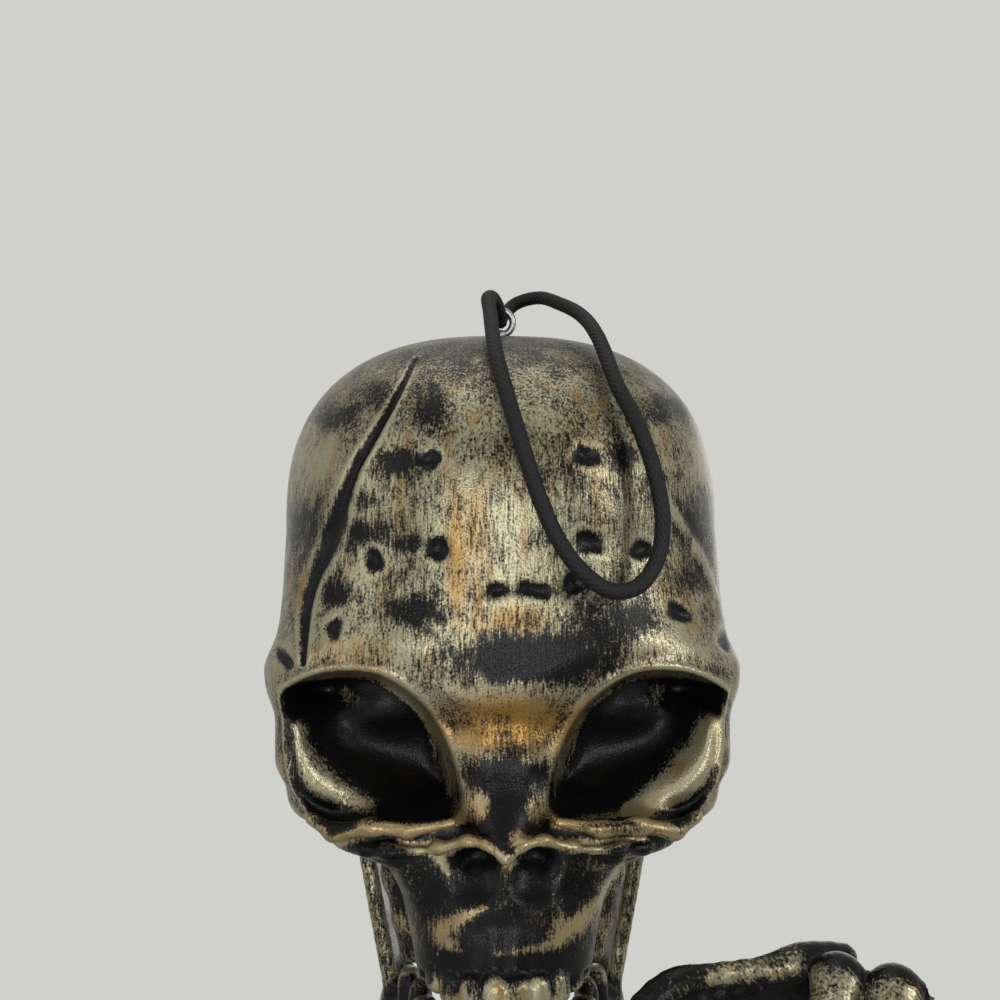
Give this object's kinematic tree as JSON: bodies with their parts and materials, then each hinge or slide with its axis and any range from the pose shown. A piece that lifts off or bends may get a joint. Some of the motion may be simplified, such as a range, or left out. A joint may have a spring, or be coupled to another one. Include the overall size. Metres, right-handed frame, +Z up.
{
  "type": "posable skeleton decoration",
  "caption": "Posable hanging skeleton in black plastic with antique gold rub: skull with hinged jaw, jointed neck, arms and legs, and a cord loop on the crown.",
  "frame": {"origin": "centre of the hanging eye on the crown of the skull", "axes": "+Z up, the face looks along -Y, the skeleton's left side is +X"},
  "size_m": [0.3999, 0.2967, 1.5347],
  "materials": {
    "gold_rubbed_plastic": "black semi-gloss moulding, dry brushed with antique gold on raised places",
    "screw_steel": "dull zinc",
    "cord": "black braid"
  },
  "bodies": {
    "skull": {"skull_face": "gold_rubbed_plastic", "skull_back": "gold_rubbed_plastic", "skull_screw_left": "screw_steel", "skull_screw_right": "screw_steel", "jaw_screw_left": "screw_steel", "jaw_screw_right": "screw_steel", "neck_pin": "screw_steel", "hanging_eye": "screw_steel", "hanging_cord": "cord"},
    "jaw": {"jaw": "gold_rubbed_plastic"},
    "neck": {"neck": "gold_rubbed_plastic"},
    "torso": {"ribcage_back": "gold_rubbed_plastic", "ribcage_front": "gold_rubbed_plastic", "chest_screw_upper_left": "screw_steel", "chest_screw_upper_right": "screw_steel", "chest_screw_lower_left": "screw_steel", "chest_screw_lower_right": "screw_steel", "lower_spine": "gold_rubbed_plastic", "hip_bone_left": "gold_rubbed_plastic", "hip_bone_right": "gold_rubbed_plastic", "pelvis_screw_left": "screw_steel", "pelvis_screw_right": "screw_steel", "pubic_screw": "screw_steel"},
    "left_shoulder": {"shoulder_hub_left": "gold_rubbed_plastic", "shoulder_pin_left": "screw_steel"},
    "left_upper_arm": {"upper_arm_left": "gold_rubbed_plastic", "elbow_pin_left": "screw_steel"},
    "left_forearm": {"forearm_left": "gold_rubbed_plastic", "wrist_pin_left": "screw_steel"},
    "left_hand": {"hand_left": "gold_rubbed_plastic"},
    "left_hip": {"hip_hub_left": "gold_rubbed_plastic", "hip_pin_left": "screw_steel"},
    "left_thigh": {"thigh_left": "gold_rubbed_plastic", "knee_pin_left": "screw_steel"},
    "left_shin": {"shin_left": "gold_rubbed_plastic", "ankle_pin_left": "screw_steel"},
    "left_foot": {"foot_left": "gold_rubbed_plastic"},
    "right_shoulder": {"shoulder_hub_right": "gold_rubbed_plastic", "shoulder_pin_right": "screw_steel"},
    "right_upper_arm": {"upper_arm_right": "gold_rubbed_plastic", "elbow_pin_right": "screw_steel"},
    "right_forearm": {"forearm_right": "gold_rubbed_plastic", "wrist_pin_right": "screw_steel"},
    "right_hand": {"hand_right": "gold_rubbed_plastic"},
    "right_hip": {"hip_hub_right": "gold_rubbed_plastic", "hip_pin_right": "screw_steel"},
    "right_thigh": {"thigh_right": "gold_rubbed_plastic", "knee_pin_right": "screw_steel"},
    "right_shin": {"shin_right": "gold_rubbed_plastic", "ankle_pin_right": "screw_steel"},
    "right_foot": {"foot_right": "gold_rubbed_plastic"}
  },
  "joints": [
    {"name": "jaw_open", "type": "hinge", "parent": "skull", "child": "jaw", "pos_m": [0, -0.008, -0.1394], "axis": [1, 0, 0], "range_deg": [0, 25]},
    {"name": "head_nod", "type": "hinge", "parent": "skull", "child": "neck", "pos_m": [0, 0.024, -0.15], "axis": [1, 0, 0], "range_deg": [-20, 20]},
    {"name": "head_turn", "type": "hinge", "parent": "neck", "child": "torso", "pos_m": [0, 0.024, -0.28], "axis": [0, 0, 1], "range_deg": [-60, 60]},
    {"name": "left_shoulder_swing", "type": "hinge", "parent": "torso", "child": "left_shoulder", "pos_m": [0.155, 0.01, -0.312], "axis": [-1, 0, 0], "range_deg": [-58, 16]},
    {"name": "left_shoulder_lift", "type": "hinge", "parent": "left_shoulder", "child": "left_upper_arm", "pos_m": [0.155, 0.01, -0.312], "axis": [0, -0.5, 0.866], "range_deg": [-5, 60]},
    {"name": "left_elbow", "type": "hinge", "parent": "left_upper_arm", "child": "left_forearm", "pos_m": [0.15171, -0.1992, -0.42565], "axis": [-0.8829, 0.2347, -0.4066], "range_deg": [-130, 8]},
    {"name": "left_wrist", "type": "hinge", "parent": "left_forearm", "child": "left_hand", "pos_m": [0.07102, -0.14921, -0.22153], "axis": [0.8829, -0.2347, 0.4066], "range_deg": [-36, 64]},
    {"name": "left_hip_swing", "type": "hinge", "parent": "torso", "child": "left_hip", "pos_m": [0.086, 0.004, -0.715], "axis": [-1, 0, 0], "range_deg": [-25, 100]},
    {"name": "left_hip_spread", "type": "hinge", "parent": "left_hip", "child": "left_thigh", "pos_m": [0.086, 0.004, -0.715], "axis": [0, -1, 0], "range_deg": [0, 35]},
    {"name": "left_knee", "type": "hinge", "parent": "left_thigh", "child": "left_shin", "pos_m": [0.086, 0.011, -1.1], "axis": [1, 0, 0], "range_deg": [0, 130]},
    {"name": "left_ankle", "type": "hinge", "parent": "left_shin", "child": "left_foot", "pos_m": [0.086, 0.004, -1.462], "axis": [1, 0, 0], "range_deg": [-30, 30]},
    {"name": "right_shoulder_swing", "type": "hinge", "parent": "torso", "child": "right_shoulder", "pos_m": [-0.155, 0.01, -0.312], "axis": [-1, 0, 0], "range_deg": [-51, 159]},
    {"name": "right_shoulder_lift", "type": "hinge", "parent": "right_shoulder", "child": "right_upper_arm", "pos_m": [-0.155, 0.01, -0.312], "axis": [0, 0.9945, -0.1045], "range_deg": [-7, 78]},
    {"name": "right_elbow", "type": "hinge", "parent": "right_upper_arm", "child": "right_forearm", "pos_m": [-0.18074, -0.02088, -0.54668], "axis": [-0.8764, -0.4556, 0.1561], "range_deg": [-18, 127]},
    {"name": "right_wrist", "type": "hinge", "parent": "right_forearm", "child": "right_hand", "pos_m": [-0.17779, -0.09889, -0.75782], "axis": [0.8764, 0.4556, -0.1561], "range_deg": [-68, 52]},
    {"name": "right_hip_swing", "type": "hinge", "parent": "torso", "child": "right_hip", "pos_m": [-0.086, 0.004, -0.715], "axis": [-1, 0, 0], "range_deg": [-25, 100]},
    {"name": "right_hip_spread", "type": "hinge", "parent": "right_hip", "child": "right_thigh", "pos_m": [-0.086, 0.004, -0.715], "axis": [0, 1, 0], "range_deg": [0, 35]},
    {"name": "right_knee", "type": "hinge", "parent": "right_thigh", "child": "right_shin", "pos_m": [-0.086, 0.011, -1.1], "axis": [1, 0, 0], "range_deg": [0, 130]},
    {"name": "right_ankle", "type": "hinge", "parent": "right_shin", "child": "right_foot", "pos_m": [-0.086, 0.004, -1.462], "axis": [1, 0, 0], "range_deg": [-30, 30]}
  ]
}
